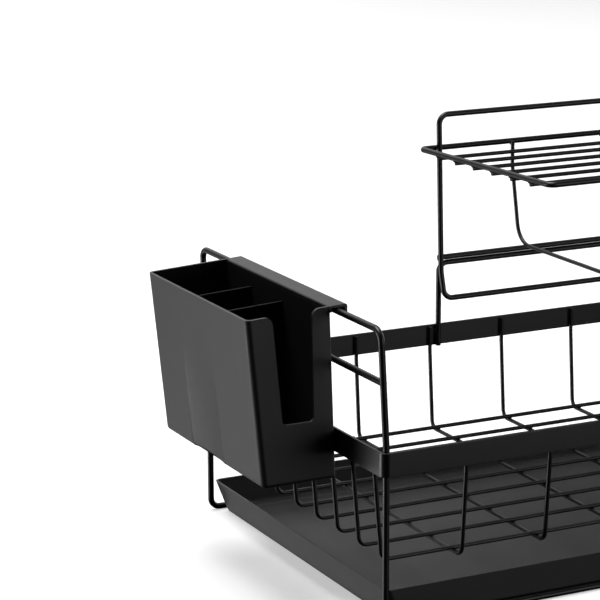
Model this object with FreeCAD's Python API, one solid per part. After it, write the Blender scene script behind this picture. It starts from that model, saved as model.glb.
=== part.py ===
import FreeCAD, Part
import math
import os

from FreeCAD import Vector

# Dish drying rack, in millimetres.
# A welded wire basket hangs in a flat steel rim on two bent side frames. A plate rack
# hooks on a stand at the rear, a cutlery holder hooks over the left side frame, and a
# drip tray slides in between the floor rails.
# The part's own frame: +X along the rack, +Y from front to rear, +Z up, z = 0 on the table.
# Shapes are drawn about the middle of the rim's footprint, and are shifted at the end so
# that the origin is the bottom centre of the whole part's box.

# Rim band
RIM_LENGTH = 450.0
RIM_DEPTH = 284.0
RIM_TOP = 121.0
RIM_HEIGHT = 16.5
RIM_THICKNESS = 2.0
RIM_CORNER_RADIUS = 5.5

# Wires
FRAME_RADIUS = 2.25
UPRIGHT_RADIUS = 2.1
THIN_RADIUS = 1.5
BODY_GAP = 0.3

# Basket
CROSS_WIRE_COUNT = 9
CROSS_WIRE_PITCH = 31.0
DEEP_WIRE_COUNT = 6
DEEP_WIRE_PITCH = 64.5
BASKET_FLOOR_Z = 43.0
BASKET_WALL_LEAN = 5.0
BASKET_BEND_RADIUS = 7.0
WIRE_KINK_RADIUS = 30.0
WIRE_END_DROP = 1.5
WIRE_KINK_DROP = 2.5

# Side frames
SIDE_BAR_TOP_Z = 201.8
SIDE_BAR_LOW_Z = 166.9
SIDE_BAR_INSET = 0.4
FOOT_BEND_RADIUS = 7.0
BAR_BEND_RADIUS = 8.0
LEAN_KINK_RADIUS = 40.0
LEAN_START_RISE = 2.0

# Rear stand and the plate rack's upright loop
STAND_LEFT_X = -25.3
STAND_RIGHT_X = 183.9
STAND_TOP_Z = 169.8
STAND_BEND_RADIUS = 7.0
LOOP_TOP_Z = 285.4
LOOP_LOW_Z = 143.4
LOOP_KINK_Z = 164.5
LOOP_BEND_RADIUS = 7.5
LOOP_KINK_RADIUS = 12.0
LOOP_BACK_LEAN = 0.03
LOOP_TOP_WIDER = 0.9
LOOP_INSET = -0.7
LOOP_FOOT_INSET = 1.3
LOOP_FOOT_FORWARD = 3.5

# Plate rack
PLATE_LEFT_X = -40.5
PLATE_RIGHT_X = 199.1
PLATE_REAR_Z = 259.6
PLATE_RISE = 0.0195
PLATE_CORNER_RADIUS = 5.0
SLOT_WIRE_COUNT = 6
SLOT_WIRE_PITCH = 26.2
CRADLE_X = (38.6, 120.6)
CRADLE_FLOOR_Z = 182.0
CRADLE_BEND_RADIUS = 18.0
CRADLE_LEAN = 12.0

# Drip tray
TRAY_HEIGHT = 24.8
TRAY_END_INSET = 5.6
TRAY_SIDE_INSET = 7.6
TRAY_END_DRAFT = 9.4
TRAY_SIDE_DRAFT = 0.8
TRAY_CORNER_RADIUS = 5.0
TRAY_WALL = 1.6
TRAY_FLOOR = 2.4
TRAY_RECESS_DEPTH = 1.0
TRAY_RECESS_MARGIN = 15.0
TRAY_RECESS_RADIUS = 6.0
TRAY_FLOOR_EDGE_RADIUS = 2.5

# Cutlery holder; x runs from the rim's left outer face, negative is outside the rack
HOLDER_LENGTH = 161.0
HOLDER_MIDDLE_Y = 1.5
HOLDER_BOTTOM_Z = 87.0
HOLDER_TOP_Z = 202.6
HOLDER_TOP_SLOPE = 0.055
HOLDER_OUTER_X = (-55.1, -66.7)
HOLDER_INNER_X = (-0.3, -4.6)
HOLDER_END_DRAFT = 0.8
HOLDER_WALL = 2.0
HOLDER_FLOOR = 2.5
HOLDER_CORNER_RADIUS = 4.0
HOLDER_BASE_FILLET = 3.0
HOLDER_DIVIDER_Y = (-9.6, 39.4)
HOLDER_DIVIDER_THICKNESS = 1.8
HOLDER_DIVIDER_DROP = 11.6
NOTCH_BOTTOM_Z = 129.0
NOTCH_TOP_X = (-48.0, -19.0)
NOTCH_BOTTOM_X = (-40.5, -17.5)
NOTCH_TOP_RADIUS = 5.5
NOTCH_BOTTOM_RADIUS = 3.0
NOTCH_SHARP_RADIUS = 0.2
NOTCH_FLARE = 9.0
HOOK_UNDER_Z = 204.6
HOOK_THICKNESS = 1.8
HOOK_OUTER_X = 6.9
HOOK_LIP_LOW_Z = 200.5
HOOK_CORNER_RADIUS = 3.5

# Places worked out from the sizes above
HALF_LENGTH = RIM_LENGTH / 2
HALF_DEPTH = RIM_DEPTH / 2
CORNER_PLAY = (RIM_CORNER_RADIUS - RIM_THICKNESS - FRAME_RADIUS) / math.sqrt(2)
LEG_INSET = RIM_CORNER_RADIUS - CORNER_PLAY
WIRE_INSET = RIM_THICKNESS + THIN_RADIUS
STAND_Y = HALF_DEPTH - RIM_THICKNESS - UPRIGHT_RADIUS
LOOP_Y = STAND_Y - 2 * UPRIGHT_RADIUS - BODY_GAP
CROSSBAR_Y = LOOP_Y + 2 * UPRIGHT_RADIUS
CROSSBAR_Z = STAND_TOP_Z + 2 * UPRIGHT_RADIUS + BODY_GAP
PLATE_REAR_Y = CROSSBAR_Y + (PLATE_REAR_Z - CROSSBAR_Z) * LOOP_BACK_LEAN
PLATE_FRONT_Y = PLATE_REAR_Y - (SLOT_WIRE_COUNT + 1) * SLOT_WIRE_PITCH

# The whole part's box, which fixes the origin
BOX_LEFT = -HALF_LENGTH + HOLDER_OUTER_X[1]
BOX_RIGHT = HALF_LENGTH - SIDE_BAR_INSET + FRAME_RADIUS
BOX_REAR = max(HALF_DEPTH, PLATE_REAR_Y + UPRIGHT_RADIUS)
ORIGIN = Vector((BOX_LEFT + BOX_RIGHT) / 2, (BOX_REAR - HALF_DEPTH) / 2, 0)


def mirrored_x(shape):
    """The same shape on the other side of the rack's middle plane."""
    return shape.mirror(Vector(0, 0, 0), Vector(1, 0, 0))


def bent_path(points, radii, closed=False):
    """Straight runs joined by tangent arcs; radii holds one radius for each inner point."""
    count = len(points)
    corners = range(count) if closed else range(1, count - 1)
    ends = {i: (points[i], points[i]) for i in range(count)}
    arcs = {}
    for corner, radius in zip(corners, radii):
        here = points[corner]
        to_last = (points[corner - 1] - here).normalize()
        to_next = (points[(corner + 1) % count] - here).normalize()
        half_angle = to_last.getAngle(to_next) / 2
        reach = radius / math.tan(half_angle)
        start = here + to_last * reach
        end = here + to_next * reach
        bisector = (to_last + to_next).normalize()
        middle = here + bisector * (radius / math.sin(half_angle) - radius)
        ends[corner] = (start, end)
        arcs[corner] = Part.Arc(start, middle, end).toShape()
    edges = []
    for i in range(count if closed else count - 1):
        following = (i + 1) % count
        edges.append(Part.LineSegment(ends[i][1], ends[following][0]).toShape())
        if following in arcs:
            edges.append(arcs[following])
    return Part.Wire(edges)


def wire_along(path, radius):
    """A round wire of the given radius along a bent path."""
    first = path.OrderedEdges[0]
    start = first.valueAt(first.FirstParameter)
    heading = first.tangentAt(first.FirstParameter)
    section = Part.Wire(Part.makeCircle(radius, start, heading))
    return path.makePipeShell([section], True, False)


def straight_wire(start, end, radius):
    """A round straight wire between two points."""
    run = end - start
    return Part.makeCylinder(radius, run.Length, start, run)


def rounded_rectangle(x_low, x_high, y_low, y_high, z, radius):
    """A closed wire at height z with four round corners."""
    corners = [
        Vector(x_low, y_low, z),
        Vector(x_high, y_low, z),
        Vector(x_high, y_high, z),
        Vector(x_low, y_high, z),
    ]
    return bent_path(corners, [radius] * 4, closed=True)


def prism(outline, run):
    """A solid from a closed flat outline, pulled along run."""
    return Part.Face(outline).extrude(run)


def rim_band():
    """The flat steel hoop that carries the basket's wires."""
    base = RIM_TOP - RIM_HEIGHT
    outside = rounded_rectangle(
        -HALF_LENGTH, HALF_LENGTH, -HALF_DEPTH, HALF_DEPTH, base, RIM_CORNER_RADIUS
    )
    in_x = HALF_LENGTH - RIM_THICKNESS
    in_y = HALF_DEPTH - RIM_THICKNESS
    inside = rounded_rectangle(
        -in_x, in_x, -in_y, in_y, base, RIM_CORNER_RADIUS - RIM_THICKNESS
    )
    rise = Vector(0, 0, RIM_HEIGHT)
    return prism(outside, rise).cut(prism(inside, rise))


def basket_profile(half_span, floor_z):
    """Half of a basket wire as (distance from the middle, height), from rim to floor."""
    top = half_span - WIRE_INSET
    return [
        (top, RIM_TOP - WIRE_END_DROP),
        (top, RIM_TOP - RIM_HEIGHT - WIRE_KINK_DROP),
        (top - BASKET_WALL_LEAN, floor_z),
    ]


def basket_wire(half_span, floor_z, place):
    """A U-shaped wire; place turns (distance, height) into a point."""
    half = basket_profile(half_span, floor_z)
    points = [place(-distance, height) for distance, height in half]
    points += [place(distance, height) for distance, height in reversed(half)]
    bends = [WIRE_KINK_RADIUS, BASKET_BEND_RADIUS]
    return wire_along(bent_path(points, bends + bends[::-1]), THIN_RADIUS)


def basket_cross_wire(index):
    """A wire along the rack, counted from the front."""
    y = (index - (CROSS_WIRE_COUNT - 1) / 2) * CROSS_WIRE_PITCH
    return basket_wire(HALF_LENGTH, BASKET_FLOOR_Z, lambda d, z: Vector(d, y, z))


def basket_deep_wire(index):
    """A wire from front to rear under the cross wires, counted from the left."""
    x = (index - (DEEP_WIRE_COUNT - 1) / 2) * DEEP_WIRE_PITCH
    floor_z = BASKET_FLOOR_Z - 2 * THIN_RADIUS
    return basket_wire(HALF_DEPTH, floor_z, lambda d, z: Vector(x, d, z))


def side_frame():
    """The left frame: half the front rail, leg, top bar, leg and half the rear rail."""
    leg_x = -HALF_LENGTH + LEG_INSET
    bar_x = -HALF_LENGTH + SIDE_BAR_INSET
    side_y = HALF_DEPTH - LEG_INSET
    half = [
        (0.0, FRAME_RADIUS),
        (leg_x, FRAME_RADIUS),
        (leg_x, RIM_TOP + LEAN_START_RISE),
        (bar_x, SIDE_BAR_TOP_Z),
    ]
    points = [Vector(x, -side_y, z) for x, z in half]
    points += [Vector(x, side_y, z) for x, z in reversed(half)]
    bends = [FOOT_BEND_RADIUS, LEAN_KINK_RADIUS, BAR_BEND_RADIUS]
    return wire_along(bent_path(points, bends + bends[::-1]), FRAME_RADIUS)


def side_bar(frame):
    """The lower bar of the left side frame, with its ends coped to the two uprights."""
    lean_z = RIM_TOP + LEAN_START_RISE
    share = (SIDE_BAR_LOW_Z - lean_z) / (SIDE_BAR_TOP_Z - lean_z)
    x = -HALF_LENGTH + LEG_INSET + share * (SIDE_BAR_INSET - LEG_INSET)
    side_y = HALF_DEPTH - LEG_INSET
    bar = straight_wire(
        Vector(x, -side_y, SIDE_BAR_LOW_Z), Vector(x, side_y, SIDE_BAR_LOW_Z), FRAME_RADIUS
    )
    return middle_piece(bar.cut(frame))


def middle_piece(shape):
    """The largest solid of a shape that a cut has left in pieces."""
    return max(shape.Solids, key=lambda solid: solid.Volume)


def rear_stand():
    """The inverted U welded inside the rear band, which the plate rack hooks on."""
    foot_z = RIM_TOP - RIM_HEIGHT
    points = [
        Vector(STAND_LEFT_X, STAND_Y, foot_z),
        Vector(STAND_LEFT_X, STAND_Y, STAND_TOP_Z),
        Vector(STAND_RIGHT_X, STAND_Y, STAND_TOP_Z),
        Vector(STAND_RIGHT_X, STAND_Y, foot_z),
    ]
    return wire_along(bent_path(points, [STAND_BEND_RADIUS] * 2), UPRIGHT_RADIUS)


def upright_loop():
    """The closed loop that stands up behind the plates; its foot leans out in front of the stand."""
    side_x = STAND_LEFT_X + LOOP_INSET
    low_run = LOOP_KINK_Z - CROSSBAR_Z
    high_run = LOOP_TOP_Z - CROSSBAR_Z
    kink_y = LOOP_Y + low_run * LOOP_BACK_LEAN
    left = [
        (side_x - LOOP_TOP_WIDER, LOOP_Y + high_run * LOOP_BACK_LEAN, LOOP_TOP_Z, LOOP_BEND_RADIUS),
        (side_x, kink_y, LOOP_KINK_Z, LOOP_KINK_RADIUS),
        (side_x + LOOP_FOOT_INSET, kink_y - LOOP_FOOT_FORWARD, LOOP_LOW_Z, LOOP_BEND_RADIUS),
    ]
    right = [(STAND_LEFT_X + STAND_RIGHT_X - x, y, z, r) for x, y, z, r in reversed(left)]
    corners = left + right
    points = [Vector(x, y, z) for x, y, z, _ in corners]
    return wire_along(bent_path(points, [r for *_, r in corners], closed=True), UPRIGHT_RADIUS)


def crossbar():
    """The bar welded behind the loop's uprights, which rests on the stand."""
    return straight_wire(
        Vector(STAND_LEFT_X + LOOP_INSET, CROSSBAR_Y, CROSSBAR_Z),
        Vector(STAND_RIGHT_X - LOOP_INSET, CROSSBAR_Y, CROSSBAR_Z),
        UPRIGHT_RADIUS,
    )


def plate_height(y):
    """Height of the plate rack's side wires at a given distance from front to rear."""
    return PLATE_REAR_Z + (PLATE_REAR_Y - y) * PLATE_RISE


def plate_rack_frame():
    """The rectangular wire frame behind and in front of the plates."""
    corners = [
        Vector(x, y, plate_height(y))
        for x, y in (
            (PLATE_LEFT_X, PLATE_REAR_Y),
            (PLATE_LEFT_X, PLATE_FRONT_Y),
            (PLATE_RIGHT_X, PLATE_FRONT_Y),
            (PLATE_RIGHT_X, PLATE_REAR_Y),
        )
    ]
    path = bent_path(corners, [PLATE_CORNER_RADIUS] * 4, closed=True)
    return wire_along(path, UPRIGHT_RADIUS)


def plate_slot_wire(index):
    """A straight wire under the plate rack's side wires, counted from the rear."""
    y = PLATE_REAR_Y - (index + 1) * SLOT_WIRE_PITCH
    z = plate_height(y) - UPRIGHT_RADIUS - THIN_RADIUS
    return straight_wire(Vector(PLATE_LEFT_X, y, z), Vector(PLATE_RIGHT_X, y, z), THIN_RADIUS)


def plate_cradle_wire(x):
    """A U-shaped wire from the frame's rear to its front that the plates stand on."""
    inset = UPRIGHT_RADIUS + THIN_RADIUS
    rear_y = PLATE_REAR_Y - inset
    front_y = PLATE_FRONT_Y + inset
    points = [
        Vector(x, rear_y, plate_height(rear_y)),
        Vector(x, rear_y, PLATE_REAR_Z - CRADLE_BEND_RADIUS),
        Vector(x, rear_y - CRADLE_LEAN, CRADLE_FLOOR_Z),
        Vector(x, front_y + CRADLE_LEAN, CRADLE_FLOOR_Z),
        Vector(x, front_y, PLATE_REAR_Z - CRADLE_BEND_RADIUS),
        Vector(x, front_y, plate_height(front_y)),
    ]
    bends = [WIRE_KINK_RADIUS, CRADLE_BEND_RADIUS, CRADLE_BEND_RADIUS, WIRE_KINK_RADIUS]
    return wire_along(bent_path(points, bends), THIN_RADIUS)


def tray_section(height, grow):
    """The tray's outline at a height, moved outwards by grow."""
    depth_share = 1 - height / TRAY_HEIGHT
    half_x = HALF_LENGTH - TRAY_END_INSET - depth_share * TRAY_END_DRAFT + grow
    half_y = HALF_DEPTH - TRAY_SIDE_INSET - depth_share * TRAY_SIDE_DRAFT + grow
    radius = TRAY_CORNER_RADIUS + grow
    return rounded_rectangle(-half_x, half_x, -half_y, half_y, height, radius)


def edges_at(shape, z):
    """The edges of a shape that lie wholly at one height."""
    return [
        edge
        for edge in shape.Edges
        if abs(edge.BoundBox.ZMin - z) < 1e-4 and abs(edge.BoundBox.ZMax - z) < 1e-4
    ]


def drip_tray():
    """An open tray with drafted walls and a shallow recess in its floor."""
    outer = Part.makeLoft([tray_section(0, 0), tray_section(TRAY_HEIGHT, 0)], True, True)
    outer = outer.makeFillet(TRAY_FLOOR_EDGE_RADIUS, edges_at(outer, 0))
    floor = tray_section(TRAY_FLOOR, -TRAY_WALL)
    mouth = tray_section(TRAY_HEIGHT + 1, -TRAY_WALL)
    hollow = Part.makeLoft([floor, mouth], True, True)
    hollow = hollow.makeFillet(TRAY_FLOOR_EDGE_RADIUS, edges_at(hollow, TRAY_FLOOR))
    recess_x = HALF_LENGTH - TRAY_END_INSET - TRAY_END_DRAFT - TRAY_RECESS_MARGIN
    recess_y = HALF_DEPTH - TRAY_SIDE_INSET - TRAY_SIDE_DRAFT - TRAY_RECESS_MARGIN
    recess = prism(
        rounded_rectangle(
            -recess_x, recess_x, -recess_y, recess_y,
            TRAY_FLOOR - TRAY_RECESS_DEPTH, TRAY_RECESS_RADIUS,
        ),
        Vector(0, 0, TRAY_RECESS_DEPTH + 1),
    )
    return outer.cut(hollow).cut(recess)


def holder_section(z, grow):
    """The cutlery holder's outline at a height, moved outwards by grow."""
    share = (z - HOLDER_BOTTOM_Z) / (HOLDER_TOP_Z - HOLDER_BOTTOM_Z)
    outer_x = HOLDER_OUTER_X[0] + share * (HOLDER_OUTER_X[1] - HOLDER_OUTER_X[0])
    inner_x = HOLDER_INNER_X[0] + share * (HOLDER_INNER_X[1] - HOLDER_INNER_X[0])
    half_y = HOLDER_LENGTH / 2 - HOLDER_END_DRAFT * (1 - share) + grow
    return rounded_rectangle(
        outer_x - grow, inner_x + grow, -half_y, half_y, z, HOLDER_CORNER_RADIUS + grow
    )


def holder_top(x, drop=0):
    """Height of the holder's sloping rim at x, lowered by drop."""
    return HOLDER_TOP_Z + HOLDER_TOP_SLOPE * (x - HOLDER_OUTER_X[1]) - drop


def above_rim(drop, low_y, high_y):
    """Everything above the sloping rim, or above a plane lower by drop."""
    left, right, high = HOLDER_OUTER_X[1] * 2, -HOLDER_OUTER_X[1], HOLDER_TOP_Z * 2
    outline = Part.Wire(
        Part.makePolygon(
            [
                Vector(left, low_y, holder_top(left, drop)),
                Vector(right, low_y, holder_top(right, drop)),
                Vector(right, low_y, high),
                Vector(left, low_y, high),
                Vector(left, low_y, holder_top(left, drop)),
            ]
        )
    )
    return prism(outline, Vector(0, high_y - low_y, 0))


def holder_notch():
    """The open slot in the holder's front wall, narrower at its foot."""
    y = -HOLDER_LENGTH / 2 - 1
    far_left, far_right = NOTCH_TOP_X[0] - NOTCH_FLARE, NOTCH_TOP_X[1] + NOTCH_FLARE
    corners = [
        Vector(far_left, y, holder_top(far_left)),
        Vector(NOTCH_TOP_X[0], y, holder_top(NOTCH_TOP_X[0])),
        Vector(NOTCH_BOTTOM_X[0], y, NOTCH_BOTTOM_Z),
        Vector(NOTCH_BOTTOM_X[1], y, NOTCH_BOTTOM_Z),
        Vector(NOTCH_TOP_X[1], y, holder_top(NOTCH_TOP_X[1])),
        Vector(far_right, y, holder_top(far_right)),
        Vector(far_right, y, holder_top(far_right) + 1),
        Vector(far_left, y, holder_top(far_left) + 1),
    ]
    radii = [
        NOTCH_SHARP_RADIUS, NOTCH_TOP_RADIUS, NOTCH_BOTTOM_RADIUS, NOTCH_BOTTOM_RADIUS,
        NOTCH_TOP_RADIUS, NOTCH_SHARP_RADIUS, NOTCH_SHARP_RADIUS, NOTCH_SHARP_RADIUS,
    ]
    depth = HOLDER_WALL + HOLDER_END_DRAFT + HOLDER_CORNER_RADIUS
    return prism(bent_path(corners, radii, closed=True), Vector(0, depth, 0))


def hook_rail():
    """The rail along the holder's inner wall that hooks over the side frame's top bar."""
    wall_x = HOLDER_INNER_X[1]
    y = -HOLDER_LENGTH / 2
    foot_z = HOLDER_TOP_Z - 1
    tip_z = holder_top(HOOK_OUTER_X)
    outline = Part.Wire(
        Part.makePolygon(
            [
                Vector(wall_x - HOLDER_WALL, y, foot_z),
                Vector(wall_x - HOLDER_WALL, y, holder_top(wall_x - HOLDER_WALL)),
                Vector(HOOK_OUTER_X, y, tip_z),
                Vector(HOOK_OUTER_X, y, HOOK_LIP_LOW_Z),
                Vector(HOOK_OUTER_X - HOOK_THICKNESS, y, HOOK_LIP_LOW_Z),
                Vector(HOOK_OUTER_X - HOOK_THICKNESS, y, HOOK_UNDER_Z),
                Vector(wall_x, y, HOOK_UNDER_Z),
                Vector(wall_x, y, foot_z),
                Vector(wall_x - HOLDER_WALL, y, foot_z),
            ]
        )
    )
    rail = prism(outline, Vector(0, HOLDER_LENGTH, 0))
    corner = [
        edge
        for edge in rail.Edges
        if abs(edge.BoundBox.XMin - HOOK_OUTER_X) < 1e-4
        and abs(edge.BoundBox.ZMin - tip_z) < 1e-4
        and edge.Length > HOLDER_LENGTH / 2
    ]
    return rail.makeFillet(HOOK_CORNER_RADIUS, corner)


def cutlery_holder():
    """The moulded bin: drafted walls, a closed floor, two dividers and a hook rail."""
    over_z = holder_top(HOLDER_INNER_X[1]) + 2
    base = holder_section(HOLDER_BOTTOM_Z, 0)
    rim = holder_section(over_z, 0)
    outer = Part.makeLoft([base, rim], True, True)
    outer = outer.makeFillet(HOLDER_BASE_FILLET, edges_at(outer, HOLDER_BOTTOM_Z))
    floor = holder_section(HOLDER_BOTTOM_Z + HOLDER_FLOOR, -HOLDER_WALL)
    mouth = holder_section(over_z + 1, -HOLDER_WALL)
    hollow = Part.makeLoft([floor, mouth], True, True)
    for y in HOLDER_DIVIDER_Y:
        half = HOLDER_DIVIDER_THICKNESS / 2
        divider = Part.makeBox(
            -2 * HOLDER_OUTER_X[1],
            HOLDER_DIVIDER_THICKNESS,
            2 * HOLDER_TOP_Z,
            Vector(2 * HOLDER_OUTER_X[1], y - half, 0),
        )
        divider = divider.cut(above_rim(HOLDER_DIVIDER_DROP, y - 2 * half, y + 2 * half))
        hollow = hollow.cut(divider)
    bin_shape = outer.cut(hollow).cut(above_rim(0, -HOLDER_LENGTH, HOLDER_LENGTH))
    holder = bin_shape.cut(holder_notch()).fuse(hook_rail()).removeSplitter()
    holder.translate(Vector(-HALF_LENGTH, HOLDER_MIDDLE_Y, 0))
    return holder


def all_parts():
    """Every sub-part by its node name, drawn about the middle of the rim."""
    frame = side_frame()
    bar = side_bar(frame)
    parts = {
        "rim_band": rim_band(),
        "side_frame_left": frame,
        "side_frame_right": mirrored_x(frame),
        "side_bar_left": bar,
        "side_bar_right": mirrored_x(bar),
        "rear_stand": rear_stand(),
        "drip_tray": drip_tray(),
        "cutlery_holder": cutlery_holder(),
        "upright_loop": upright_loop(),
        "upright_crossbar": crossbar(),
        "plate_rack_frame": plate_rack_frame(),
    }
    for index in range(CROSS_WIRE_COUNT):
        parts[f"basket_cross_wire_{index + 1}"] = basket_cross_wire(index)
    for index in range(DEEP_WIRE_COUNT):
        parts[f"basket_deep_wire_{index + 1}"] = basket_deep_wire(index)
    for index in range(SLOT_WIRE_COUNT):
        parts[f"plate_slot_wire_{index + 1}"] = plate_slot_wire(index)
    for index, x in enumerate(CRADLE_X):
        parts[f"plate_cradle_wire_{index + 1}"] = plate_cradle_wire(x)
    return parts


os.makedirs("parts", exist_ok=True)
for name, shape in all_parts().items():
    solid = middle_piece(shape)
    solid.translate(-ORIGIN)
    solid.exportStep(f"parts/{name}.step")
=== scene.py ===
import logging
import math
from dataclasses import dataclass, field
from enum import Enum
from typing import Any, Callable

import bmesh
import bpy
from mathutils import Matrix, Vector


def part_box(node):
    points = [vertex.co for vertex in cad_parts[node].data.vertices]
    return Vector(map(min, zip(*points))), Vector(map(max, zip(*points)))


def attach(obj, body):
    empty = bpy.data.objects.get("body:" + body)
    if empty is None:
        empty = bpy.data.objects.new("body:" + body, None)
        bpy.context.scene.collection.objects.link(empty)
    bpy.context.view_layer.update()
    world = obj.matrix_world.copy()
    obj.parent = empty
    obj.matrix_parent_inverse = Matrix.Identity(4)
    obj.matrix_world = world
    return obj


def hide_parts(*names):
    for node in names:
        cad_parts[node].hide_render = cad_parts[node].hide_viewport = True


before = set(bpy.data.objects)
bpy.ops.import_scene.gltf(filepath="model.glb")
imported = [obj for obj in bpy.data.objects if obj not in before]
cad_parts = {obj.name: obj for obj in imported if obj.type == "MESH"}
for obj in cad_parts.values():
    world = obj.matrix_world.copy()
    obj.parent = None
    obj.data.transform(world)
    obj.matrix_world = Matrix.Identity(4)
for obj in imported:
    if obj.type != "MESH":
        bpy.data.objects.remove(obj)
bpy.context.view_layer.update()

LOG = logging.getLogger("dish_rack")

MM = 0.001
DOUBLES = 0.01 * MM  # points closer than this are merged
NEAR = 0.05 * MM  # a point this close to a plane counts as lying in it
SMOOTH_ANGLE = 42.0  # faces that meet at less than this many degrees are shaded as one


class Body(str, Enum):
    """The rigid bodies of the rack."""

    RACK = "rack"
    TRAY = "drip_tray"
    HOLDER = "cutlery_holder"
    TIER = "upper_tier"


class Slot(str, Enum):
    """The record's material slots."""

    COATING = "black_coating"
    TRAY = "tray_plastic"
    HOLDER = "holder_plastic"


class Combine(str, Enum):
    """How one solid is combined with another."""

    ADD = "UNION"
    CUT = "DIFFERENCE"


# ---------------------------------------------------------------- shader maths


class Value:
    """A number that varies over a surface: one output socket with arithmetic."""

    def __init__(self, finish: "NodeMaker", socket: Any) -> None:
        """Wraps a socket.

        Args:
            finish: The maker whose node tree holds the socket.
            socket: The output socket.
        """
        self.finish = finish
        self.socket = socket

    def _math(self, operation: str, first: Any, second: Any) -> "Value":
        """Adds one Math node.

        Args:
            operation: The Math node's operation.
            first: The first operand.
            second: The second operand.

        Returns:
            The result as a new value.
        """
        node = self.finish.node("ShaderNodeMath", {"operation": operation}, {0: first, 1: second})
        return Value(self.finish, node.outputs[0])

    def __add__(self, other: Any) -> "Value":
        """Sum."""
        return self._math("ADD", self, other)

    __radd__ = __add__

    def __rsub__(self, other: Any) -> "Value":
        """A number less this value."""
        return self._math("SUBTRACT", other, self)

    def __mul__(self, other: Any) -> "Value":
        """Product."""
        return self._math("MULTIPLY", self, other)

    __rmul__ = __mul__


class NodeMaker:
    """Builds one material's node tree."""

    def __init__(self, name: str) -> None:
        """Starts an empty material.

        Args:
            name: The material's name.
        """
        self.material = bpy.data.materials.new(name)
        self.material.use_nodes = True
        self.tree = self.material.node_tree
        self.tree.nodes.clear()

    def node(self, kind: str, settings: dict[str, Any], sockets: dict[Any, Any]) -> Any:
        """Makes any node.

        Args:
            kind: The node's type.
            settings: Properties of the node; "stops" fills a colour ramp.
            sockets: Input socket (name or index) to a number, colour, socket or value.

        Returns:
            The new node.
        """
        made = self.tree.nodes.new(kind)
        for key, setting in settings.items():
            if key == "stops":
                ramp = made.color_ramp.elements
                for element, (place, tone) in zip(ramp, setting):
                    element.position = place
                    element.color = (tone, tone, tone, 1.0)
            else:
                setattr(made, key, setting)
        for key, given in sockets.items():
            if isinstance(given, Value):
                given = given.socket
            if isinstance(given, bpy.types.NodeSocket):
                self.tree.links.new(given, made.inputs[key])
            else:
                made.inputs[key].default_value = given
        return made

    def coordinates(self, stretch: tuple[float, float, float] = (1.0, 1.0, 1.0)) -> Any:
        """Object coordinates, stretched.

        Args:
            stretch: Scale along X, Y and Z.

        Returns:
            The vector socket.
        """
        source = self.node("ShaderNodeTexCoord", {}, {}).outputs["Object"]
        mapping = self.node("ShaderNodeMapping", {}, {"Vector": source, "Scale": stretch})
        return mapping.outputs["Vector"]

    def noise(self, vector: Any, scale: float, detail: float, roughness: float = 0.5) -> Value:
        """Soft noise from 0 to 1.

        Args:
            vector: The coordinates.
            scale: Features per metre.
            detail: Number of octaves.
            roughness: Weight of the finer octaves.

        Returns:
            The noise as a value.
        """
        sockets = {"Vector": vector, "Scale": scale, "Detail": detail, "Roughness": roughness}
        return Value(self, self.node("ShaderNodeTexNoise", {}, sockets).outputs[0])

    def ramp(self, value: Value, stops: tuple[tuple[float, float], ...]) -> Value:
        """Maps a value through a ramp of two stops.

        Args:
            value: The input.
            stops: Position and tone of each stop.

        Returns:
            The mapped value.
        """
        return Value(self, self.node("ShaderNodeValToRGB", {"stops": stops}, {0: value}).outputs[0])

    def blend(self, factor: Value, first: tuple, second: tuple) -> Any:
        """Mixes two colours.

        Args:
            factor: 0 gives the first colour, 1 the second.
            first: Linear colour.
            second: Linear colour.

        Returns:
            The colour socket.
        """
        settings = {"data_type": "RGBA"}
        sockets = {0: factor, 6: (*first, 1.0), 7: (*second, 1.0)}
        return self.node("ShaderNodeMix", settings, sockets).outputs[2]

    def bump(self, height: Value, distance: float, strength: float) -> Any:
        """Turns a height into a normal.

        Args:
            height: The height, 0 to 1.
            distance: Height of 1, in metres.
            strength: Share of the effect.

        Returns:
            The normal socket.
        """
        sockets = {"Height": height, "Distance": distance, "Strength": strength}
        return self.node("ShaderNodeBump", {}, sockets).outputs["Normal"]

    def surface(self, sockets: dict[str, Any]) -> bpy.types.Material:
        """Ends the tree in a Principled shader.

        Args:
            sockets: The shader's inputs.

        Returns:
            The finished material.
        """
        shader = self.node("ShaderNodeBsdfPrincipled", {}, sockets)
        self.node("ShaderNodeOutputMaterial", {}, {"Surface": shader.outputs[0]})
        return self.material


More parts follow.
